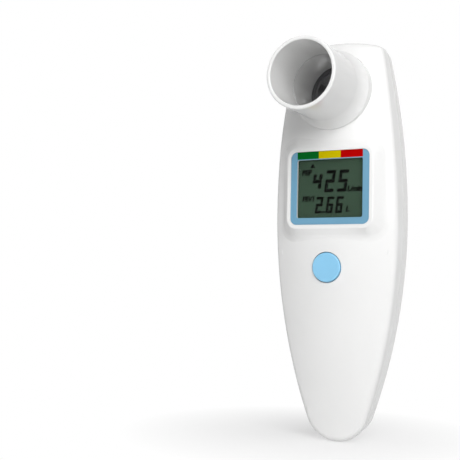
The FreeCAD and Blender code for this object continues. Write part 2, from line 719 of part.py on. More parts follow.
def mouthpiece_parts():
    tube = cylinder("mouth_tube", d.mouth_radius, mouth_end - mouth_front, y=mouth_front, z=mouth_z)
    rise = d.skirt_radius - d.mouth_radius
    run = d.skirt_start - d.skirt_full
    sweep = (rise * rise + run * run) / (rise * 2)
    flare = cylinder("skirt_block", d.skirt_radius, d.skirt_start - 5, y=-d.skirt_start, z=mouth_z)
    hollow = document.addObject("Part::Torus", "skirt_sweep")
    bind(hollow, Radius1=d.mouth_radius + sweep, Radius2=sweep)
    place(hollow, ZERO, -d.skirt_start, mouth_z, ALONG["y"])
    cover = shaped("skirt_trim", crown_solid(float(d.skirt_gap)))
    skirt = cut("skirt", cut("skirt_flared", flare, hollow), cover)
    outside = rounded("mouth_outside", fuse("mouth_solid", [tube, skirt]), d.lip_round, None, mouth_front)
    wide = cylinder("mouth_wide_bore", d.mouth_bore_radius, d.mouth_step + 1, y=mouth_front - 1, z=mouth_z)
    narrow = cylinder("mouth_narrow_bore", d.mouth_inner_radius, mouth_end - mouth_front + 2,
                      y=mouth_front - 1, z=mouth_z)
    seal_ring = d.mouth_radius + 0.1 - d.seal_radius
    groove = ring("seal_groove", d.mouth_radius + 1, seal_ring - d.seal_radius - 0.05,
                  -d.seal_depth - d.seal_radius - 0.05, d.seal_radius * 2 + 0.1, mouth_z)
    bored = cut("mouth_bored", outside, fuse("mouth_bores", [wide, narrow, groove]))
    finish("mouthpiece", rounded("mouth_whole", bored, 0.45, None, mouth_front))
    seal = document.addObject("Part::Torus", "seal_torus")
    bind(seal, Radius1=seal_ring, Radius2=d.seal_radius)
    place(seal, ZERO, -d.seal_depth, mouth_z, ALONG["y"])
    finish("mouthpiece_seal", seal)


def flow_tube():
    outside = [
        cylinder("socket_outside", socket_bore + d.socket_wall, socket_back - socket_front,
                 y=socket_front, z=mouth_z),
        cylinder("tube_outside", tube_outside, tube_end - socket_floor, y=socket_floor, z=mouth_z),
    ]
    inside = [
        cylinder("socket_inside", socket_bore, socket_floor - socket_front + 1,
                 y=socket_front - 1, z=mouth_z),
        cylinder("tube_inside", d.tube_bore_radius, tube_end - socket_floor + 2,
                 y=socket_floor - 1, z=mouth_z),
        cylinder("tube_light_holes", d.sensor_hole, tube_outside * 2 + 2,
                 x=-tube_outside - 1, y=rotor_middle, z=mouth_z, along="x"),
    ]
    finish("flow_tube", cut("tube_cut", fuse("tube_solid", outside), fuse("tube_hollows", inside)))


def swirl_vanes():
    middle = (stator_end - d.stator_front) / 2
    outer, inner = float(insert_radius), float(insert_radius - d.ring_wall)
    hub, length = float(d.hub_radius), float(d.stator_length)
    front, centre_z = -float(d.stator_front), float(mouth_z)
    axis = Vector(0, 1, 0)
    rim = Part.makeCylinder(outer, length, Vector(0, front, centre_z), axis)
    rim = rim.cut(Part.makeCylinder(inner, length, Vector(0, front, centre_z), axis))
    whole = rim.fuse(Part.makeCylinder(hub, length, Vector(0, front, centre_z), axis))
    keep = Part.makeCylinder(outer - 0.3, length, Vector(0, front, centre_z), axis)
    thickness = float(d.vane_thickness)
    for number in range(int(float(d.stator_vanes))):
        vane = Part.makeBox(thickness, length * 2, inner - hub + 1.2,
                            Vector(-thickness / 2, -length, hub - 0.6))
        vane.rotate(Vector(0, 0, 0), Vector(0, 0, 1), float(d.stator_pitch))
        vane.rotate(Vector(0, 0, 0), axis, number * 360 / float(d.stator_vanes))
        vane.translate(Vector(0, float(middle), centre_z))
        whole = whole.fuse(vane.common(keep))
    base = shaped("vanes_body", whole.removeSplitter())
    seat = cylinder("vanes_seat", d.bearing_radius + 0.05, d.bearing_length + 1,
                    y=stator_end - d.bearing_length, z=mouth_z)
    finish("swirl_vanes", cut("vanes_cut", base, seat))


def grille():
    middle_z = mouth_z
    rim = ring("grille_rim", insert_radius, insert_radius - d.ring_wall, grille_front,
               d.grille_length, middle_z)
    hub = cylinder("grille_hub", d.hub_radius, d.grille_length, y=grille_front, z=middle_z)
    spokes = []
    for number in range(3):
        spoke = document.addObject("Part::Box", f"grille_spoke_{number}")
        reach = insert_radius - d.ring_wall / 2
        bind(spoke, Length=reach * 2, Width=d.grille_length, Height=d.grille_spoke)
        turn = Rotation(Vector(0, 1, 0), number * 60 + 30)
        offset = turn.multVec(Vector(-float(reach), 0, -float(d.grille_spoke) / 2))
        place(spoke, ZERO + offset.x, grille_front, middle_z + offset.z, turn)
        spokes.append(spoke)
    rings = [
        ring(f"grille_ring_{number}", radius + 0.8, ZERO + radius, grille_front, d.grille_length, middle_z)
        for number, radius in enumerate((4.4, 7.2))
    ]
    seat = cylinder("grille_seat", d.bearing_radius + 0.05, d.bearing_length + 1,
                    y=grille_front - 1, z=middle_z)
    body = fuse("grille_body", [rim, hub] + spokes + rings)
    finish("outlet_grille", cut("grille_cut", body, seat))


def rotor_parts():
    bore = d.axle_radius + d.axle_gap
    finish("front_bearing", ring("front_bearing_ring", d.bearing_radius, bore,
                                 stator_end - d.bearing_length, d.bearing_length, mouth_z))
    finish("rear_bearing", ring("rear_bearing_ring", d.bearing_radius, bore,
                                grille_front, d.bearing_length, mouth_z))
    start = stator_end - d.bearing_length + 0.1
    finish("rotor_axle", cylinder("axle_pin", d.axle_radius,
                                  grille_front + d.bearing_length - 0.1 - start, y=start, z=mouth_z))
    span = (d.tube_bore_radius - d.rotor_gap) * 2
    blade = box("blade_plate", span, d.rotor_length, d.rotor_thickness,
                ZERO, rotor_front, mouth_z - d.rotor_thickness / 2)
    hub = cylinder("blade_hub", d.bearing_radius, d.rotor_length, y=rotor_front, z=mouth_z)
    hole = cylinder("blade_hole", d.axle_radius, d.rotor_length + 2, y=rotor_front - 1, z=mouth_z)
    finish("rotor_blade", cut("blade_cut", fuse("blade_body", [blade, hub]), hole))


def sensors():
    for name, side in (("infrared_emitter", 1), ("infrared_detector", -1)):
        inner = tube_outside + 0.2
        start = inner if side > 0 else -inner - d.sensor_length
        lens = cylinder(f"{name}_lens", d.sensor_radius, d.sensor_length,
                        x=start, y=rotor_middle, z=mouth_z, along="x")
        leg_x = (inner + d.sensor_length + 0.6) * side
        pins = []
        for number in SIDES:
            pin_z = mouth_z + 0.9 * number
            pins.append(box(f"{name}_arm_{number + 1}", ZERO + 1.1, 0.5, 0.5,
                            (inner + d.sensor_length + 0.3) * side, rotor_middle - 0.25, pin_z - 0.25))
            pins.append(box(f"{name}_leg_{number + 1}", ZERO + 0.5, rotor_middle + 0.25 - board_back, 0.5,
                            leg_x, board_back, pin_z - 0.25))
        finish(name, fuse(f"{name}_whole", [lens] + pins))


# Circuit board and what it carries

def board_blank():
    """The board's square-edged outline, clear of the sides and, at its front face, of the crown."""
    depth = float(d.board_front)
    room = crown_solid(-float(d.wall + d.board_gap))
    room = room.common(outline_prism(float(d.board_inset), 0.0, -depth - SPARE, 0.0))
    edge = room.slice(Vector(0, 1, 0), -depth)[0]
    blank = Part.Face(edge).extrude(Vector(0, float(d.board_thickness), 0))
    low, high = float(board_bottom_z), float(board_top_z)
    half = float(d.half_width) + SPARE
    return blank.common(Part.makeBox(half * 2, depth + SPARE, high - low, Vector(-half, -depth - 1, low)))


def circuit_board():
    base = shaped("board_outline", board_blank())
    start, length = -d.board_front - 1, d.board_thickness + 2
    holes = [cylinder("board_air_hole", socket_bore + d.socket_wall + d.board_air_gap, length,
                      y=start, z=mouth_z)]
    for number, (side, z) in enumerate(screw_places()):
        if z is low_screw_z:
            holes.append(cylinder(f"board_boss_hole_{number}", d.boss_radius + 0.2, length,
                                  x=side, y=start, z=z))
    for number, (side, z) in enumerate(board_screw_places()):
        holes.append(cylinder(f"board_screw_hole_{number}", d.board_screw_radius + 0.1, length,
                              x=side, y=start, z=z))
    finish("circuit_board", cut("board_cut", base, fuse("board_holes", holes)))
    chip_z = display_z - d.chip_drop
    finish("processor_chip", box("chip_block", d.chip_width, d.chip_thickness, d.chip_width,
                                 ZERO, board_back, chip_z - d.chip_width / 2))
    finish("crystal", box("crystal_can", d.crystal_width, d.crystal_thickness, d.crystal_length,
                          -d.crystal_side, board_back, chip_z - d.crystal_length / 2))
    finish("capacitor", cylinder("capacitor_can", d.capacitor_radius, d.capacitor_length,
                                 x=d.capacitor_side, y=board_back, z=display_z - d.capacitor_drop))
    finish("buzzer", cylinder("buzzer_disc", d.buzzer_radius, d.buzzer_thickness,
                              x=d.buzzer_side, y=board_back, z=display_z + d.buzzer_rise))


def screw(name, side, z, seat, radius, length, head_radius, head_height):
    shank = cylinder(f"{name}_shank", radius, length + 0.1, x=side, y=seat - length, z=z)
    head = cylinder(f"{name}_head", head_radius, head_height, x=side, y=seat, z=z)
    slots = [
        box(f"{name}_slot_0", head_radius * 1.2, 2, 0.4, side, seat + head_height * 0.5, z - 0.2),
        box(f"{name}_slot_1", 0.4, 2, head_radius * 1.2, side, seat + head_height * 0.5,
            z - head_radius * 0.6),
    ]
    finish(name, cut(f"{name}_cut", fuse(f"{name}_solid", [head, shank]), fuse(f"{name}_cross", slots)))


def screws():
    names = ["housing_screw_tip", "housing_screw_low_right", "housing_screw_top_right",
             "housing_screw_low_left", "housing_screw_top_left"]
    for name, (side, z) in zip(names, screw_places()):
        screw(name, side, z, d.screw_seat, d.screw_radius, d.screw_length,
              d.screw_head_radius, d.screw_head_height)
    names = ["board_screw_low_right", "board_screw_high_right",
             "board_screw_low_left", "board_screw_high_left"]
    for name, (side, z) in zip(names, board_screw_places()):
        screw(name, side, z, board_back, d.board_screw_radius, d.board_screw_length,
              d.board_screw_head_radius, d.board_screw_head_height)


# Batteries and their contacts

cell_x = d.cell_radius + d.cell_gap
bay_half_width = cell_x + d.cell_radius + d.cell_gap
bay_floor = ZERO - 0.1
cell_y = bay_floor + d.cell_gap + d.cell_radius


def batteries():
    low = bay_bottom_z + d.contact_thickness
    for name, side, flipped in (("battery_left", -1, False), ("battery_right", 1, True)):
        can_start = low + d.cell_nub if flipped else low + d.spring_length
        nub_start = low if flipped else can_start + d.cell_length - 0.1
        can = cylinder(f"{name}_can", d.cell_radius, d.cell_length,
                       x=cell_x * side, y=cell_y, z=can_start, along="z")
        nub = cylinder(f"{name}_nub", d.cell_nub_radius, d.cell_nub + 0.1,
                       x=cell_x * side, y=cell_y, z=nub_start, along="z")
        finish(name, fuse(f"{name}_whole", [can, nub]))
        spring_z = can_start + d.cell_length if flipped else low
        radius, wire = float(d.spring_radius), float(d.spring_wire) / 2
        height = float(d.spring_length) - 2 * wire
        points = []
        for step in range(73):
            angle = math.radians(step * 15)
            points.append(Vector(radius * math.cos(angle), radius * math.sin(angle), height * step / 72))
        path = Part.BSplineCurve()
        path.interpolate(points)
        profile = Part.Wire(Part.Circle(points[0], path.tangent(0)[0], wire).toShape())
        coil = Part.Wire(path.toShape()).makePipeShell([profile], True, True)
        spring = shaped(f"{name}_coil", coil)
        place(spring, cell_x * side, cell_y, spring_z + wire)
        finish("spring_upper" if flipped else "spring_lower", spring)
    finish("battery_link", box("link_plate", bay_half_width * 2 - 0.8, d.link_depth,
                               d.contact_thickness, ZERO, cell_y - d.link_depth / 2, bay_bottom_z))
    plate_front = cell_y - d.contact_width / 2
    for name, side in (("battery_plus_contact", -1), ("battery_minus_contact", 1)):
        plate = box(f"{name}_plate", d.contact_width, d.contact_width, d.contact_thickness,
                    cell_x * side, plate_front, bay_top_z - d.contact_thickness)
        leg = box(f"{name}_leg", d.contact_leg, plate_front + 0.5 - board_back, d.contact_thickness,
                  cell_x * side, board_back, bay_top_z - d.contact_thickness)
        finish(name, fuse(f"{name}_whole", [plate, leg]))


# Covers

def boss(name, side, z, radius, depth_sign, length):
    start = ZERO if depth_sign > 0 else ZERO - length
    return cylinder(name, radius, ZERO + length, x=side, y=start, z=z)


def platform_edges(body):
    """The edges round the platform's face, and those where its walls meet the crowned cover."""
    face_y = -float(d.platform_front)
    half_x = float(d.platform_foot_side) + 0.5
    half_z = float(d.frame_height) / 2 + float(d.platform_lip) + float(d.platform_run) + 0.5
    lip, foot = [], []
    for edge in body.Edges:
        bounds = edge.BoundBox
        middle = edge.valueAt((edge.FirstParameter + edge.LastParameter) / 2)
        within = -half_x < bounds.XMin and bounds.XMax < half_x and bounds.ZLength < half_z * 2
        if abs(middle.z - float(display_z)) > half_z or not within:
            continue
        if abs(bounds.YMin - face_y) < 1e-3 and abs(bounds.YMax - face_y) < 1e-3:
            lip.append(edge)
        elif abs(-middle.y - crown_depth(middle.x, middle.z)) < 0.02:
            foot.append(edge)
    return lip, foot


def front_cover():
    body = front_form(0.0, float(d.front_edge_round)).fuse(platform_form())
    body = body.makeFillet(float(d.platform_round), platform_edges(body)[0])
    blend = min(float(d.platform_blend), float(d.platform_side_run) * 1.2)
    body = body.makeFillet(blend, platform_edges(body)[1])
    shell = shaped("front_shell", body.cut(front_form(float(d.wall), 0.6)))
    added = [shell]
    taken = []
    pilot = d.screw_length - d.screw_seat + 0.2
    board_pilot = d.board_screw_length - d.board_thickness + 0.2
    for number, (side, z) in enumerate(screw_places()):
        depth = crown_depth(float(side), float(z)) - float(d.wall) / 2
        added.append(boss(f"front_boss_{number}", side, z, d.boss_radius, -1, depth))
        taken.append(boss(f"front_pilot_{number}", side, z, d.screw_radius + 0.05, -1, pilot))
    for number, (side, z) in enumerate(board_screw_places()):
        depth = crown_depth(float(side), float(z)) - float(d.wall) / 2
        length = depth - float(d.board_front)
        added.append(cylinder(f"board_boss_{number}", d.board_boss_radius, ZERO + length,
                              x=side, y=ZERO - depth, z=z))
        taken.append(cylinder(f"board_pilot_{number}", d.board_screw_radius + 0.05, board_pilot,
                              x=side, y=-d.board_front - board_pilot, z=z))
    taken += [
        box("display_bay", holder_width + bay_gap, 12, holder_height + bay_gap,
            ZERO, ledge_back, window_z - (holder_height + bay_gap) / 2),
        panel("display_ledge_opening", d.window_width + 0.5, d.window_height + 0.5,
              lens_back - 1, ledge_back + 1, window_z, ZERO + 1.0),
        panel("display_lens_seat", lens_width + bay_gap, lens_height + bay_gap,
              frame_back - 1, lens_back, window_z, ZERO + 0.9),
        panel("display_frame_seat", d.frame_width + bay_gap, d.frame_height + bay_gap,
              frame_front - 2, frame_back, display_z, d.frame_corner + d.seat_gap),
        cylinder("button_hole", d.button_radius + d.button_gap, ZERO + 12,
                 x=d.button_side, y=ZERO - 16, z=button_z),
        cylinder("mouth_hole", d.mouth_radius + d.hole_gap, ZERO + 20, y=ZERO - 20, z=mouth_z),
    ]
    solid = fuse("front_solid", added)
    finish("front_cover", cut("front_cut", solid, fuse("front_openings", taken)))


high_lug_z = door_z - d.door_lug_drop
lug_places = [(d.door_lug_side * side, z) for z in (high_lug_z - d.door_lug_pitch, high_lug_z)
              for side in SIDES]


def rear_cover():
    wall = float(d.wall)
    body = rear_form(0.0, float(d.back_edge_round)).cut(rear_form(wall, 2.4))
    span, foot = float(d.half_width) * 3, float(tip_z) - SPARE
    door = Part.makeBox(span, 20, float(door_z) - foot, Vector(-span / 2, float(d.door_depth), foot))
    shell = body.cut(door)
    deck = Part.makeBox(span, 1.2, float(door_z) + 2.0 - foot,
                        Vector(-span / 2, float(d.door_depth) - 1.3, foot))
    shell = shell.fuse(deck.common(outline_prism(wall / 2, 0.0, float(d.rear_depth), float(d.rear_draft))))
    added = [shaped("rear_shell", shell)]
    floor = bay_floor - d.bay_wall
    bay_outer = box("bay_outside", (bay_half_width + d.bay_wall) * 2, d.door_depth - floor - 0.1,
                    bay_top_z - bay_bottom_z + d.bay_wall * 2, ZERO, floor, bay_bottom_z - d.bay_wall)
    added.append(bay_outer)
    taken = [
        box("bay_inside", bay_half_width * 2, 20, bay_top_z - bay_bottom_z, ZERO, bay_floor, bay_bottom_z),
        cylinder("air_outlet", tube_outside + 0.2, ZERO + 12, y=ZERO + 6, z=mouth_z),
    ]
    for name, side in (("plus", -1), ("minus", 1)):
        taken.append(box(f"{name}_leg_slot", 2.4, 3, d.contact_thickness + 0.4, cell_x * side,
                         floor - 1, bay_top_z - d.contact_thickness - 0.4))
    for number, (side, z) in enumerate(screw_places()):
        reach = back_depth(float(z)) - wall / 2
        if z is tip_screw_z:
            reach = float(d.door_depth) - 0.6
        added.append(boss(f"rear_boss_{number}", side, z, d.boss_radius + 0.3, 1, reach))
        taken.append(cylinder(f"rear_clearance_{number}", d.screw_radius + 0.2, ZERO + 20,
                              x=side, y=ZERO - 2, z=z))
        taken.append(cylinder(f"rear_counterbore_{number}", d.screw_head_radius + 0.25, ZERO + 12,
                              x=side, y=d.screw_seat, z=z))
    for number, (side, z) in enumerate(lug_places):
        taken.append(box(f"lug_slot_{number}", d.door_lug_width + 0.6, 3, d.door_lug_length + 5.0,
                         side, d.door_depth - 2.4, z + 2.6 - d.door_lug_length - 5.0))
    solid = fuse("rear_solid", added)
    finish("rear_cover", cut("rear_cut", solid, fuse("rear_openings", taken)))


def battery_cover():
    body = rear_form(0.0, float(d.back_edge_round)).cut(rear_form(float(d.wall), 2.4))
    gap = float(d.door_gap)
    span, foot = float(d.half_width) * 3, float(tip_z) - SPARE
    door = Part.makeBox(span, 20, float(door_z) - gap - foot,
                        Vector(-span / 2, float(d.door_depth) + gap, foot))
    added = [shaped("door_shell", body.common(door))]
    stem_front = d.door_depth - 3.1
    for number, (side, z) in enumerate(lug_places):
        added.append(box(f"lug_stem_{number}", d.door_lug_width, d.rear_depth - 1.2 - stem_front,
                         d.door_lug_stem, side, stem_front, z))
        added.append(box(f"lug_foot_{number}", d.door_lug_width, 1.0,
                         d.door_lug_stem + d.door_lug_length, side, stem_front, z))
    grooves = [
        cylinder(f"grip_groove_{number}", d.groove_radius, d.groove_length, x=-d.groove_length / 2,
                 y=d.rear_depth + 0.2, z=door_z - d.groove_drop - d.groove_pitch * number, along="x")
        for number in range(5)
    ]
    finish("battery_cover", cut("door_cut", fuse("door_whole", added), fuse("grip_grooves", grooves)))


finished = []


def finish(name, item):
    item.Label = name
    finished.append((name, item))


def main():
    front_cover()
    display_frame()
    display_parts()
    button_parts()
    mouthpiece_parts()
    flow_tube()
    swirl_vanes()
    rotor_parts()
    grille()
    sensors()
    circuit_board()
    batteries()
    rear_cover()
    battery_cover()
    screws()
    document.recompute()
    troubled = [item.Name for item in document.Objects if {"Invalid", "Error"} & set(item.State)]
    if troubled:
        raise RuntimeError(f"objects in trouble: {troubled}")
    os.makedirs("parts", exist_ok=True)
    for name, item in finished:
        if not item.Shape.isValid() or item.Shape.Volume <= 0 or len(item.Shape.Solids) != 1:
            raise RuntimeError(f"{name} isn't one valid solid: {len(item.Shape.Solids)}")
    for name, item in finished:
        item.Shape.exportStep(f"parts/{name}.step")


main()
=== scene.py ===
import json
import math

import bpy
from mathutils import Euler, Matrix, Vector

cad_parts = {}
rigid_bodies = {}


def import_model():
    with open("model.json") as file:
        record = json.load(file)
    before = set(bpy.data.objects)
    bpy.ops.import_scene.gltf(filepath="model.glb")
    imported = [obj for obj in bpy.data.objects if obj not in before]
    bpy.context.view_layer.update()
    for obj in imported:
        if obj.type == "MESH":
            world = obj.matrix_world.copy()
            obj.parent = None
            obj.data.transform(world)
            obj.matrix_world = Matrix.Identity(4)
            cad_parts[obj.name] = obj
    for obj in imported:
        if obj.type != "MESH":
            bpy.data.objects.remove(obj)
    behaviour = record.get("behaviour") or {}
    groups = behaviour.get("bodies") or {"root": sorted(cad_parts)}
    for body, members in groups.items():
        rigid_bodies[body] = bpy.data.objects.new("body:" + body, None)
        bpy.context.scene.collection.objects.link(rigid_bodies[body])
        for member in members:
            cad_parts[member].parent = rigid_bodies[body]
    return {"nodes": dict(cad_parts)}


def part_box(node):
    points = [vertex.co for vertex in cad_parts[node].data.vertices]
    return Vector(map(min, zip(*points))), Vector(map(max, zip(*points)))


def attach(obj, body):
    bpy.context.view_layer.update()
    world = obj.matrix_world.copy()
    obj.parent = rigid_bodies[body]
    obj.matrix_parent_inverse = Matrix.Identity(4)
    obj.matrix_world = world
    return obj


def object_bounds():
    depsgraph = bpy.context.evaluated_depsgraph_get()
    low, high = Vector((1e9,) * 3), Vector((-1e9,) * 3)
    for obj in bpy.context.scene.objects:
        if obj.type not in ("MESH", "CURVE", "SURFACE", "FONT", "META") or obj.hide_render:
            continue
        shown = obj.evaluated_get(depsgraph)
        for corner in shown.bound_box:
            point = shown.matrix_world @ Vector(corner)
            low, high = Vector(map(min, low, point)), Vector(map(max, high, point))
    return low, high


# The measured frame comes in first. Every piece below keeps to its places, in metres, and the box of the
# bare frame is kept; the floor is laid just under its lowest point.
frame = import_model()
nodes = frame["nodes"]
cad_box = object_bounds()
for item in bpy.context.scene.objects:
    item.select_set(False)


# Front, rear and battery covers: injection moulded white ABS with a polished outside. The mould
# leaves a very faint orange peel, and the colour drifts a little in the thick and thin places.
def start_material(name):
    material = bpy.data.materials.new(name)
    material.use_nodes = True
    tree = material.node_tree
    shader = tree.nodes["Principled BSDF"]
    place = tree.nodes.new("ShaderNodeTexCoord")
    return material, tree, shader, place.outputs["Object"]


def speckle(tree, place, scale, detail=3.0, roughness=0.55):
    noise = tree.nodes.new("ShaderNodeTexNoise")
    noise.inputs["Scale"].default_value = scale
    noise.inputs["Detail"].default_value = detail
    noise.inputs["Roughness"].default_value = roughness
    tree.links.new(place, noise.inputs["Vector"])
    return noise.outputs["Fac"]


def between(tree, factor, low, high):
    spread = tree.nodes.new("ShaderNodeMapRange")
    spread.inputs["From Min"].default_value = 0.3
    spread.inputs["From Max"].default_value = 0.7
    spread.inputs["To Min"].default_value = low
    spread.inputs["To Max"].default_value = high
    tree.links.new(factor, spread.inputs["Value"])
    return spread.outputs["Result"]


def two_tone(tree, factor, first, second):
    ramp = tree.nodes.new("ShaderNodeValToRGB")
    ramp.color_ramp.elements[0].position = 0.3
    ramp.color_ramp.elements[1].position = 0.7
    ramp.color_ramp.elements[0].color = (*first, 1.0)
    ramp.color_ramp.elements[1].color = (*second, 1.0)
    tree.links.new(factor, ramp.inputs["Fac"])
    return ramp.outputs["Color"]


def relief(tree, shader, height, depth, strength=0.3):
    bump = tree.nodes.new("ShaderNodeBump")
    bump.inputs["Distance"].default_value = depth
    bump.inputs["Strength"].default_value = strength
    tree.links.new(height, bump.inputs["Height"])
    tree.links.new(bump.outputs["Normal"], shader.inputs["Normal"])


def moulded(name, colour, shine=(0.22, 0.32), grain=1400.0, clouds=60.0, depth=0.00002, drift=0.03,
            coat=0.0, gleam=0.5):
    """Moulded plastic: its colour drifts in clouds, and a fine grain breaks up its shine."""
    material, tree, shader, place = start_material(name)
    cloudy = speckle(tree, place, clouds)
    darker = tuple(channel * (1 - drift) for channel in colour)
    tree.links.new(two_tone(tree, cloudy, darker, colour), shader.inputs["Base Color"])
    fine = speckle(tree, place, grain)
    tree.links.new(between(tree, fine, *shine), shader.inputs["Roughness"])
    relief(tree, shader, fine, depth)
    shader.inputs["IOR"].default_value = 1.53
    shader.inputs["Specular IOR Level"].default_value = gleam
    shader.inputs["Coat Weight"].default_value = coat
    shader.inputs["Coat Roughness"].default_value = 0.08
    return material


def dress(material, *names):
    for name in names:
        for place in nodes[name].material_slots:
            place.material = material


white_abs = moulded("white_abs", (0.83, 0.83, 0.825), shine=(0.2, 0.27), grain=900.0, depth=0.000012,
                    drift=0.015, coat=0.05, gleam=0.3)
dress(white_abs, "front_cover", "rear_cover", "battery_cover")


# Mouthpiece: one turned-looking tube with a flared skirt, moulded in the same white but polished
# brighter than the covers. A grey silicone ring seals its hidden tail.
polished_abs = moulded("polished_white_abs", (0.81, 0.81, 0.805), shine=(0.12, 0.16), grain=700.0,
                       depth=0.000008, drift=0.012, coat=0.1, gleam=0.35)
dress(polished_abs, "mouthpiece")


def paint_step_shade(material, depth, radius, half_band=0.00012, shade_grey=0.5):
    """Paints shade on the narrow step inside the bore: a grey band in its colour that dims the step's
    lamp-lit face.
    """
    tree = material.node_tree
    shader = tree.nodes["Principled BSDF"]
    painted = shader.inputs["Base Color"].links[0].from_socket
    low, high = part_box("mouthpiece")
    place = tree.nodes.new("ShaderNodeTexCoord")
    centred = tree.nodes.new("ShaderNodeVectorMath")
    centred.operation = "SUBTRACT"
    centred.inputs[1].default_value = (0.0, low.y + depth, (low.z + high.z) / 2)
    tree.links.new(place.outputs["Object"], centred.inputs[0])
    split = tree.nodes.new("ShaderNodeSeparateXYZ")
    tree.links.new(centred.outputs["Vector"], split.inputs["Vector"])
    flat = tree.nodes.new("ShaderNodeVectorMath")
    flat.operation = "MULTIPLY"
    flat.inputs[1].default_value = (1.0, 0.0, 1.0)
    tree.links.new(centred.outputs["Vector"], flat.inputs[0])
    reach = tree.nodes.new("ShaderNodeVectorMath")
    reach.operation = "LENGTH"
    tree.links.new(flat.outputs["Vector"], reach.inputs[0])
    near = tree.nodes.new("ShaderNodeMath")
    near.operation = "COMPARE"
    near.inputs[1].default_value = 0.0
    near.inputs[2].default_value = half_band
    tree.links.new(split.outputs["Y"], near.inputs[0])
    inside = tree.nodes.new("ShaderNodeMath")
    inside.operation = "LESS_THAN"
    inside.inputs[1].default_value = radius
    tree.links.new(reach.outputs["Value"], inside.inputs[0])
    step_shade_mask = tree.nodes.new("ShaderNodeMath")
    step_shade_mask.operation = "MULTIPLY"
    tree.links.new(near.outputs["Value"], step_shade_mask.inputs[0])
    tree.links.new(inside.outputs["Value"], step_shade_mask.inputs[1])
    mix = tree.nodes.new("ShaderNodeMix")
    mix.data_type = "RGBA"
    mix.inputs["B"].default_value = (shade_grey, shade_grey, shade_grey, 1.0)
    tree.links.new(step_shade_mask.outputs["Value"], mix.inputs["Factor"])
    tree.links.new(painted, mix.inputs["A"])
    tree.links.new(mix.outputs["Result"], shader.inputs["Base Color"])


# Painted shade: a grey band on the bore's step dims its brightly lit face.
paint_step_shade(polished_abs, depth=0.022, radius=0.01265)
seal_silicone = moulded("seal_silicone", (0.12, 0.125, 0.13), shine=(0.45, 0.6), drift=0.08)
dress(seal_silicone, "mouthpiece_seal")


# Air way: a satin tube with fixed swirl vanes ahead of the rotor and a grille behind it. All three
# are moulded from the same dark grey plastic; the rotor is a thin black blade on a steel axle.
satin_plastic = moulded("satin_plastic", (0.13, 0.13, 0.135), shine=(0.38, 0.5), grain=1800.0)
dress(satin_plastic, "flow_tube", "swirl_vanes", "outlet_grille")
blade_plastic = moulded("blade_plastic", (0.05, 0.05, 0.055), shine=(0.35, 0.5), drift=0.1)
dress(blade_plastic, "rotor_blade")
sensor_epoxy = moulded("sensor_epoxy", (0.05, 0.035, 0.06), shine=(0.08, 0.14), drift=0.1, coat=0.4)
dress(sensor_epoxy, "infrared_emitter", "infrared_detector")


# Metal pieces: plated screws, springs and contacts, the axle, brass bearings and the two cans on
# the board. Fine turning and rolling lines break up their shine.
def metal(name, colour, shine=(0.22, 0.4), stretch=(1.0, 1.0, 12.0), scale=900.0, drift=0.14):
    """Bare metal with fine lines, long where the stretch is small."""
    material, tree, shader, place = start_material(name)
    mapping = tree.nodes.new("ShaderNodeMapping")
    mapping.inputs["Scale"].default_value = stretch
    tree.links.new(place, mapping.inputs["Vector"])
    lines = speckle(tree, mapping.outputs["Vector"], scale)
    darker = tuple(channel * (1 - drift) for channel in colour)
    tree.links.new(two_tone(tree, lines, darker, colour), shader.inputs["Base Color"])
    tree.links.new(between(tree, lines, *shine), shader.inputs["Roughness"])
    shader.inputs["Metallic"].default_value = 1.0
    relief(tree, shader, lines, 0.000006, 0.2)
    return material


plated_steel = metal("plated_steel", (0.62, 0.63, 0.64))
dress(plated_steel, "rotor_axle", "battery_link", "battery_plus_contact", "battery_minus_contact",
      "spring_lower", "spring_upper", "crystal",
      *[name for name in nodes if name.startswith(("housing_screw", "board_screw"))])
turned_brass = metal("turned_brass", (0.62, 0.45, 0.17), stretch=(1.0, 14.0, 1.0))
dress(turned_brass, "front_bearing", "rear_bearing")
drawn_aluminium = metal("drawn_aluminium", (0.55, 0.57, 0.6), shine=(0.3, 0.45))
dress(drawn_aluminium, "capacitor")


# Circuit board and what it carries: green solder mask over a woven laminate, black moulded chips
# and buzzer, and the dark key switch under the button.
def solder_mask():
    material, tree, shader, place = start_material("solder_mask")
    weave = tree.nodes.new("ShaderNodeTexWave")
    weave.inputs["Scale"].default_value = 420.0
    weave.inputs["Distortion"].default_value = 1.5
    tree.links.new(place, weave.inputs["Vector"])
    tree.links.new(two_tone(tree, weave.outputs["Fac"], (0.012, 0.13, 0.05), (0.02, 0.19, 0.075)),
                   shader.inputs["Base Color"])
    tree.links.new(between(tree, speckle(tree, place, 500.0), 0.25, 0.4), shader.inputs["Roughness"])
    relief(tree, shader, weave.outputs["Fac"], 0.00001, 0.3)
    return material


dress(solder_mask(), "circuit_board")
moulded_black = moulded("moulded_black", (0.03, 0.03, 0.033), shine=(0.4, 0.6), drift=0.15)
dress(moulded_black, "processor_chip", "buzzer", "switch_plunger")
dark_plastic = moulded("dark_plastic", (0.1, 0.105, 0.11), shine=(0.4, 0.55), drift=0.1)
dress(dark_plastic, "lcd_holder", "key_switch")
carbon_rubber = moulded("carbon_rubber", (0.06, 0.06, 0.065), shine=(0.6, 0.8), drift=0.2)
dress(carbon_rubber, "contact_strip_upper", "contact_strip_lower")


# Batteries: two AAA cells in a plain dark sleeve. It is shrunk on over the steel can, so a little of
# the metal's sheen comes through.
def cell_sleeve():
    material, tree, shader, place = start_material("cell_sleeve")
    cloudy = speckle(tree, place, 300.0)
    tree.links.new(two_tone(tree, cloudy, (0.03, 0.035, 0.045), (0.05, 0.055, 0.07)),
                   shader.inputs["Base Color"])
    tree.links.new(between(tree, cloudy, 0.2, 0.32), shader.inputs["Roughness"])
    shader.inputs["Metallic"].default_value = 0.35
    return material


dress(cell_sleeve(), "battery_left", "battery_right")


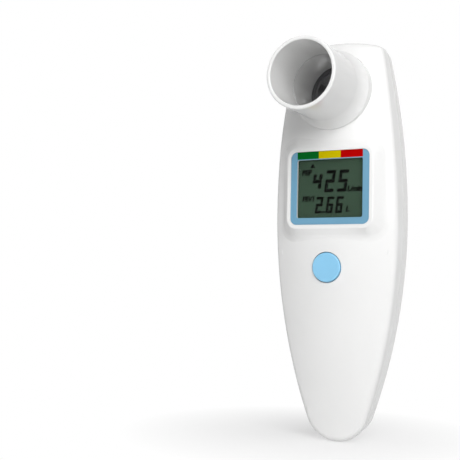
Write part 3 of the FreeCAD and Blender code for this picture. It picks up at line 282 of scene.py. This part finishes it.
# Display frame: a thin satin blue bezel that is glued into the platform. Its three zone bars are
# printed inlays, and the walls of its opening show the white of the cover behind.
def bezel_blue(face_depth=0.00006, wall_white=(0.86, 0.87, 0.88)):
    """Blue on the frame's face, and the cover's white on all that lies behind the face."""
    material, tree, shader, place = start_material("bezel_blue")
    low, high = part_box("display_frame")
    fine = speckle(tree, place, 2200.0)
    blue = two_tone(tree, fine, (0.135, 0.32, 0.47), (0.15, 0.345, 0.495))
    split = tree.nodes.new("ShaderNodeSeparateXYZ")
    tree.links.new(place, split.inputs["Vector"])
    behind = tree.nodes.new("ShaderNodeMath")
    behind.operation = "GREATER_THAN"
    behind.inputs[1].default_value = low.y + face_depth
    tree.links.new(split.outputs["Y"], behind.inputs[0])
    mix = tree.nodes.new("ShaderNodeMix")
    mix.data_type = "RGBA"
    mix.inputs["B"].default_value = (*wall_white, 1.0)
    tree.links.new(behind.outputs["Value"], mix.inputs["Factor"])
    tree.links.new(blue, mix.inputs["A"])
    tree.links.new(mix.outputs["Result"], shader.inputs["Base Color"])
    tree.links.new(between(tree, fine, 0.34, 0.44), shader.inputs["Roughness"])
    relief(tree, shader, fine, 0.00001, 0.25)
    return material


dress(bezel_blue(), "display_frame")
for name, colour in (("green_zone", (0.0, 0.125, 0.014)), ("yellow_zone", (0.56, 0.45, 0.0)),
                     ("red_zone", (0.42, 0.0, 0.0))):
    dress(moulded(f"{name}_print", colour, shine=(0.3, 0.4), grain=2500.0, drift=0.08, gleam=0.04), name)


# Display window: a thin clear acrylic pane over the glass. It lets nearly all the light through and
# carries a slight gloss.
def clear_acrylic():
    material, tree, shader, place = start_material("clear_acrylic")
    smears = speckle(tree, place, 220.0)
    shader.inputs["Base Color"].default_value = (0.02, 0.02, 0.02, 1.0)
    shader.inputs["Alpha"].default_value = 0.05
    tree.links.new(between(tree, smears, 0.03, 0.08), shader.inputs["Roughness"])
    return material


dress(clear_acrylic(), "display_window")


# Display glass: a reflective liquid crystal panel, grey-green with the fine sparkle of its rear
# film, under a matt front film.
def crystal_panel():
    material, tree, shader, place = start_material("crystal_panel")
    sparkle = speckle(tree, place, 5200.0, detail=1.0)
    tree.links.new(two_tone(tree, sparkle, (0.039, 0.073, 0.046), (0.045, 0.082, 0.052)),
                   shader.inputs["Base Color"])
    tree.links.new(between(tree, sparkle, 0.5, 0.6), shader.inputs["Roughness"])
    shader.inputs["Specular IOR Level"].default_value = 0.08
    return material


dress(crystal_panel(), "lcd_glass")


# Segments: the dark figures in the liquid crystal, with cut corners and an eight degree slant. They
# are drawn once as a bar, laid out on each digit, and lie on the face of the glass.
ink_thickness = 0.00003
ink_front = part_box("lcd_glass")[0].y - 0.00004
window_low, window_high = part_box("display_window")
window_middle = (window_low.z + window_high.z) / 2


def deselect():
    if bpy.context.object and bpy.context.object.mode == "EDIT":
        bpy.ops.object.mode_set(mode="OBJECT")
    bpy.ops.object.select_all(action="DESELECT")


def bar(width, height, place, cut=0.2):
    """One segment in the X-Z plane: a plate whose corners are cut off."""
    deselect()
    bpy.ops.mesh.primitive_plane_add(size=1.0, location=(0, 0, 0), rotation=(math.pi / 2, 0, 0))
    plate = bpy.context.object
    plate.scale = (width, height, 1.0)
    bpy.ops.object.transform_apply(location=False, rotation=True, scale=True)
    bpy.ops.object.mode_set(mode="EDIT")
    bpy.ops.mesh.select_all(action="SELECT")
    bpy.ops.mesh.bevel(offset=min(width, height) * cut, segments=1, affect="VERTICES")
    bpy.ops.mesh.extrude_region_move(TRANSFORM_OT_translate={"value": (0, ink_thickness, 0)})
    bpy.ops.mesh.select_all(action="SELECT")
    bpy.ops.mesh.normals_make_consistent(inside=False)
    bpy.ops.transform.translate(value=(place[0], 0, place[1]))
    bpy.ops.object.mode_set(mode="OBJECT")
    return plate


SEGMENTS = {
    "2": "top right_high middle left_low bottom",
    "4": "left_high middle right_high right_low",
    "5": "top left_high middle right_low bottom",
    "6": "top left_high middle left_low right_low bottom",
}


def digit(figure, x, z, width, height, thick):
    """The bars of one figure whose lower left corner is at x, z."""
    gap = thick * 0.05
    half = height / 2
    tall = half - thick * 1.5 - gap * 2
    low = z + half / 2 + thick / 4
    high = z + half * 1.5 - thick / 4
    spots = {
        "top": (width, thick, (x + width / 2, z + height - thick / 2)),
        "middle": (width, thick, (x + width / 2, z + half)),
        "bottom": (width, thick, (x + width / 2, z + thick / 2)),
        "left_high": (thick, tall, (x + thick / 2, high)),
        "right_high": (thick, tall, (x + width - thick / 2, high)),
        "left_low": (thick, tall, (x + thick / 2, low)),
        "right_low": (thick, tall, (x + width - thick / 2, low)),
    }
    return [bar(*spots[name]) for name in SEGMENTS[figure].split()]


def lettering(words, x, z, height):
    """Small slanted letters on the glass, made a mesh from a text curve."""
    deselect()
    bpy.ops.object.text_add(location=(0, 0, 0))
    text = bpy.context.object
    text.data.body = words
    text.data.size = height * 1.38
    text.data.extrude = ink_thickness / 2
    text.data.offset = height * 0.08
    text.data.space_character = 0.95
    bpy.ops.object.convert(target="MESH")
    text = bpy.context.object
    text.rotation_euler = (math.pi / 2, 0, 0)
    bpy.ops.object.transform_apply(location=False, rotation=True, scale=True)
    text.location = (x, 0, z)
    bpy.ops.object.transform_apply(location=True, rotation=False, scale=False)
    return text


def join_slanted(parts, name, base_z, slant=math.radians(8)):
    """Joins the parts, slants them about base_z and lays them on the face of the glass."""
    deselect()
    for part in parts:
        part.select_set(True)
    bpy.context.view_layer.objects.active = parts[0]
    bpy.ops.object.join()
    joined = bpy.context.object
    joined.name = name
    joined.data.name = name
    lean = Matrix.Identity(4)
    lean[0][2] = math.tan(slant)
    lean[0][3] = -math.tan(slant) * base_z
    joined.data.transform(lean)
    joined.data.transform(Matrix.Translation((0, ink_front, window_middle)))
    bpy.ops.object.mode_set(mode="EDIT")
    bpy.ops.mesh.select_all(action="SELECT")
    bpy.ops.mesh.remove_doubles(threshold=0.0000005)
    bpy.ops.object.mode_set(mode="OBJECT")
    return joined


def ink_material():
    material, tree, shader, place = start_material("segment_ink")
    soft = speckle(tree, place, 3000.0)
    tree.links.new(two_tone(tree, soft, (0.0008, 0.001, 0.0008), (0.0015, 0.002, 0.0015)),
                   shader.inputs["Base Color"])
    tree.links.new(between(tree, soft, 0.5, 0.65), shader.inputs["Roughness"])
    shader.inputs["Specular IOR Level"].default_value = 0.02
    return material


ink = ink_material()
flow_foot = -0.0014
flow_figures = []
for x, figure in ((-0.0084, "4"), (-0.0029, "2"), (0.0026, "5")):
    flow_figures += digit(figure, x, flow_foot, width=0.004, height=0.0089, thick=0.0014)
flow = join_slanted(flow_figures, "flow_figures", flow_foot + 0.0001)
volume_foot = -0.0099
volume_figures = []
for x, figure in ((-0.0068, "2"), (-0.0022, "6"), (0.0018, "6")):
    volume_figures += digit(figure, x, volume_foot, width=0.003, height=0.0067, thick=0.0011)
volume_point = bar(0.0009, 0.001, (-0.003, volume_foot + 0.0005))
volume_figures.append(volume_point)
volume = join_slanted(volume_figures, "volume_figures", volume_foot)
labels = join_slanted([
    lettering("PEF", x=-0.0134, z=0.0058, height=0.0021),
    lettering("FEV1", x=-0.0116, z=-0.0049, height=0.002),
    lettering("L/min", x=0.0072, z=-0.0012, height=0.0021),
    lettering("L", x=0.0078, z=-0.0093, height=0.0022),
], "unit_letters", 0.0)


# Zone arrow: the small triangle under the green bar that points at the reading's zone.
def zone_arrow(radius, x, rise):
    """A three-sided plate, turned so that its point looks up at the bars."""
    deselect()
    bpy.ops.mesh.primitive_cylinder_add(vertices=3, radius=radius, depth=ink_thickness,
                                        location=(0, 0, 0))
    arrow = bpy.context.object
    arrow.rotation_euler = (math.pi / 2, 0, 0)
    bpy.ops.object.transform_apply(location=False, rotation=True, scale=True)
    bpy.ops.object.mode_set(mode="EDIT")
    bpy.ops.mesh.select_all(action="SELECT")
    bpy.ops.mesh.normals_make_consistent(inside=False)
    bpy.ops.object.mode_set(mode="OBJECT")
    lowest = min(corner.co.z for corner in arrow.data.vertices)
    highest = max(corner.co.z for corner in arrow.data.vertices)
    if abs(lowest) > abs(highest):
        arrow.data.transform(Matrix.Rotation(math.pi, 4, "Y"))
    arrow.data.transform(Matrix.Translation((x, ink_front + ink_thickness / 2, window_middle + rise)))
    arrow.name = "zone_arrow"
    return arrow


arrow = zone_arrow(radius=0.00125, x=-0.0079, rise=0.0093)
for piece in (flow, volume, labels, arrow):
    piece.data.materials.clear()
    piece.data.materials.append(ink)
    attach(piece, "housing")


# Button: a pale blue moulded cap with a fine satin grain that the thumb doesn't slip on.
button_blue = moulded("button_blue", (0.26, 0.585, 0.84), shine=(0.36, 0.46), grain=2600.0,
                      depth=0.00002, drift=0.03)
dress(button_blue, "power_button")


# Set: a pale floor that the tip stands on, painted greyer near the tip as shade, a white surround, one
# broad soft lamp ahead at the right, one behind at the left that stays out of the gloss, and a weak one
# above. The camera stands where the photograph was taken from.
def seen_directly(tree):
    """1 for the camera's own rays and for what gloss and clear pieces show, otherwise 0."""
    path = tree.nodes.new("ShaderNodeLightPath")
    total = path.outputs["Is Camera Ray"]
    for name in ("Is Glossy Ray", "Is Transmission Ray"):
        larger = tree.nodes.new("ShaderNodeMath")
        larger.operation = "MAXIMUM"
        tree.links.new(total, larger.inputs[0])
        tree.links.new(path.outputs[name], larger.inputs[1])
        total = larger.outputs["Value"]
    return total


def studio(painted_shade_middle=(-0.0182, 0.013, 0.0), painted_shade_reach=0.08, painted_shade_white=0.4, fill=0.17):
    """The floor keeps the meter's real shadow and also carries painted shade: near the shade's middle it
    mixes in less white and shows grey, and away from it it turns pure white.
    """
    deselect()
    bpy.ops.mesh.primitive_plane_add(size=6.0, location=(0, 0, cad_box[0].z - 0.0001))
    floor = bpy.context.object
    floor.name = "floor"
    material, tree, shader, place = start_material("floor_white_with_painted_shade")
    shader.inputs["Base Color"].default_value = (0.86, 0.86, 0.86, 1.0)
    shader.inputs["Roughness"].default_value = 0.7
    centred = tree.nodes.new("ShaderNodeVectorMath")
    centred.operation = "SUBTRACT"
    centred.inputs[1].default_value = painted_shade_middle
    tree.links.new(place, centred.inputs[0])
    far = tree.nodes.new("ShaderNodeVectorMath")
    far.operation = "LENGTH"
    tree.links.new(centred.outputs["Vector"], far.inputs[0])
    # Painted shade: the white mixed into the floor grows with the distance from the shade's middle.
    painted_shade_fade = tree.nodes.new("ShaderNodeMapRange")
    painted_shade_fade.inputs["From Min"].default_value = 0.0
    painted_shade_fade.inputs["From Max"].default_value = painted_shade_reach
    painted_shade_fade.inputs["To Min"].default_value = painted_shade_white
    painted_shade_fade.inputs["To Max"].default_value = 1.0
    tree.links.new(far.outputs["Value"], painted_shade_fade.inputs["Value"])
    white = tree.nodes.new("ShaderNodeEmission")
    mix = tree.nodes.new("ShaderNodeMixShader")
    factor = tree.nodes.new("ShaderNodeMath")
    factor.operation = "MULTIPLY"
    tree.links.new(painted_shade_fade.outputs["Result"], factor.inputs[0])
    tree.links.new(seen_directly(tree), factor.inputs[1])
    tree.links.new(factor.outputs["Value"], mix.inputs["Fac"])
    tree.links.new(shader.outputs["BSDF"], mix.inputs[1])
    tree.links.new(white.outputs["Emission"], mix.inputs[2])
    tree.links.new(mix.outputs["Shader"], tree.nodes["Material Output"].inputs["Surface"])
    floor.data.materials.append(material)
    world = bpy.data.worlds.new("surround")
    bpy.context.scene.world = world
    world.use_nodes = True
    tree = world.node_tree
    background = tree.nodes["Background"]
    background.inputs["Color"].default_value = (1.0, 1.0, 1.0, 1.0)
    strength = tree.nodes.new("ShaderNodeMapRange")
    strength.inputs["To Min"].default_value = fill
    strength.inputs["To Max"].default_value = 1.0
    tree.links.new(seen_directly(tree), strength.inputs["Value"])
    tree.links.new(strength.outputs["Result"], background.inputs["Strength"])


def lamp(name, place, target, size, power):
    light = bpy.data.lights.new(name, "AREA")
    light.shape = "RECTANGLE"
    light.size, light.size_y = size
    light.energy = power
    holder = bpy.data.objects.new(name, light)
    bpy.context.scene.collection.objects.link(holder)
    holder.location = place
    holder.rotation_euler = (Vector(target) - Vector(place)).to_track_quat("-Z", "Y").to_euler()
    return holder


studio()
lamp("key_lamp", (0.38, -0.62, 0.38), (0, 0, 0.05), (0.6, 0.6), 5.85)
lamp("top_lamp", (-0.1, -0.25, 0.95), (0, 0, 0.04), (0.6, 0.4), 0.4)
back_lamp = lamp("back_lamp", (-0.2, 0.66, 0.1), (0, 0, 0.06), (0.6, 0.25), 2.6)
back_lamp.visible_glossy = False

frame_pixels = 460.0
focal_pixels = 850.0
camera_turn = (93.69989, -1.25338, 27.91096)
camera_data = bpy.data.cameras.new("camera")
camera_data.sensor_width = 36.0
camera_data.lens = focal_pixels / frame_pixels * camera_data.sensor_width
camera = bpy.data.objects.new("camera", camera_data)
camera.location = (0.123995, -0.329779, 0.020505)
camera.rotation_euler = Euler([math.radians(turn) for turn in camera_turn], "XYZ")
bpy.context.scene.collection.objects.link(camera)
bpy.context.scene.camera = camera
bpy.context.scene.view_settings.view_transform = "Standard"
